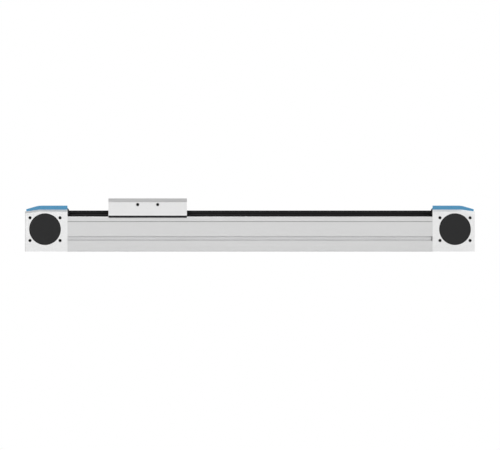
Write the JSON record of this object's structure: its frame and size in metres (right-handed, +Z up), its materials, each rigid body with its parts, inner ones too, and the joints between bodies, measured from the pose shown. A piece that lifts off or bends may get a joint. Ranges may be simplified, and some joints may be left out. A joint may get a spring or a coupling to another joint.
{
  "type": "belt driven linear axis",
  "caption": "Belt driven linear axis: a slide on a top guide rail and ball carriages, closed profile, toothed belt round a pulley in each end housing, blue top covers.",
  "frame": {"origin": "middle of the underside, half way between both ends", "axes": "+X along the travel, towards the housing far from the slide; +Y away from the viewed side; +Z up, out of the slide's top"},
  "size_m": [0.54, 0.07, 0.0638],
  "materials": {
    "profile_aluminium": "clear anodised extrusion, satin",
    "housing_aluminium": "bead blasted and clear anodised",
    "slide_aluminium": "milled and clear anodised, satin",
    "slot_strip": "extruded light grey strip",
    "rail_steel": "black coated hardened steel",
    "black_screws": "black oxide",
    "bearing_steel": "ground bearing steel",
    "turned_steel": "turned steel",
    "spring_steel": "phosphated spring steel",
    "brass": "machined brass",
    "blue_plastic": "moulded blue plastic, fine texture",
    "black_plastic": "moulded black plastic, fine texture",
    "buffer_rubber": "moulded black elastomer",
    "belt_rubber": "black polychloroprene with a fabric face"
  },
  "bodies": {
    "base": {"profile": "profile_aluminium", "guide_rail": "rail_steel", "rail_screws": "black_screws", "slot_cover_front": "slot_strip", "slot_cover_rear": "slot_strip", "toothed_belt": "belt_rubber", "drive_housing_left": "housing_aluminium", "top_cover_left": "blue_plastic", "bearing_cover_left_front": "black_plastic", "bearing_cover_left_rear": "black_plastic", "housing_screws_left": "black_screws", "outer_rings_left": "bearing_steel", "bearing_balls_left": "bearing_steel", "ball_cages_left": "brass", "bore_circlips_left": "spring_steel", "roller_axle_left": "turned_steel", "end_buffer_left": "buffer_rubber", "drive_housing_right": "housing_aluminium", "top_cover_right": "blue_plastic", "bearing_cover_right_front": "black_plastic", "bearing_cover_right_rear": "black_plastic", "housing_screws_right": "black_screws", "outer_rings_right": "bearing_steel", "bearing_balls_right": "bearing_steel", "ball_cages_right": "brass", "bore_circlips_right": "spring_steel", "roller_axle_right": "turned_steel", "end_buffer_right": "buffer_rubber"},
    "slide": {"slide_plate": "slide_aluminium", "ball_carriage_left": "bearing_steel", "ball_carriage_right": "bearing_steel", "carriage_end_caps_left": "black_plastic", "carriage_end_caps_right": "black_plastic", "carriage_balls_left": "bearing_steel", "carriage_balls_right": "bearing_steel", "carriage_screws": "black_screws", "wiper_left": "buffer_rubber", "wiper_right": "buffer_rubber", "wiper_screws": "black_screws", "belt_jaw_left": "turned_steel", "belt_jaw_right": "turned_steel", "clamp_plates": "turned_steel", "clamp_screws": "black_screws", "grease_nipples": "brass"},
    "pulley_left": {"drive_pulley_left": "turned_steel", "pulley_shaft_left": "turned_steel", "spacer_sleeves_left": "turned_steel", "inner_rings_left": "bearing_steel", "shaft_circlips_left": "spring_steel"},
    "pulley_right": {"drive_pulley_right": "turned_steel", "pulley_shaft_right": "turned_steel", "spacer_sleeves_right": "turned_steel", "inner_rings_right": "bearing_steel", "shaft_circlips_right": "spring_steel"},
    "roller_left": {"deflection_roller_left": "turned_steel", "roller_bush_left": "brass"},
    "roller_right": {"deflection_roller_right": "turned_steel", "roller_bush_right": "brass"}
  },
  "joints": [
    {"name": "slide_travel", "type": "slide", "parent": "base", "child": "slide", "axis": [1, 0, 0], "range_m": [-0.047, 0.2926], "deforming": ["toothed_belt"]},
    {"name": "pulley_left_turn", "type": "hinge", "parent": "base", "child": "pulley_left", "pos_m": [-0.246, 0, 0.0269], "axis": [0, 1, 0], "range_deg": [-231, 1365]},
    {"name": "roller_left_turn", "type": "hinge", "parent": "base", "child": "roller_left", "pos_m": [-0.226, 0, 0.04184], "axis": [0, 1, 0], "range_deg": [-431, 2547]},
    {"name": "pulley_right_turn", "type": "hinge", "parent": "base", "child": "pulley_right", "pos_m": [0.246, 0, 0.0269], "axis": [0, 1, 0], "range_deg": [-231, 1365]},
    {"name": "roller_right_turn", "type": "hinge", "parent": "base", "child": "roller_right", "pos_m": [0.226, 0, 0.04184], "axis": [0, 1, 0], "range_deg": [-431, 2547]}
  ],
  "couplings": [
    {"joint": "pulley_left_turn", "follows": "slide_travel", "rad_per_m": 80.554},
    {"joint": "roller_left_turn", "follows": "slide_travel", "rad_per_m": 150.35},
    {"joint": "pulley_right_turn", "follows": "slide_travel", "rad_per_m": 80.554},
    {"joint": "roller_right_turn", "follows": "slide_travel", "rad_per_m": 150.35}
  ]
}
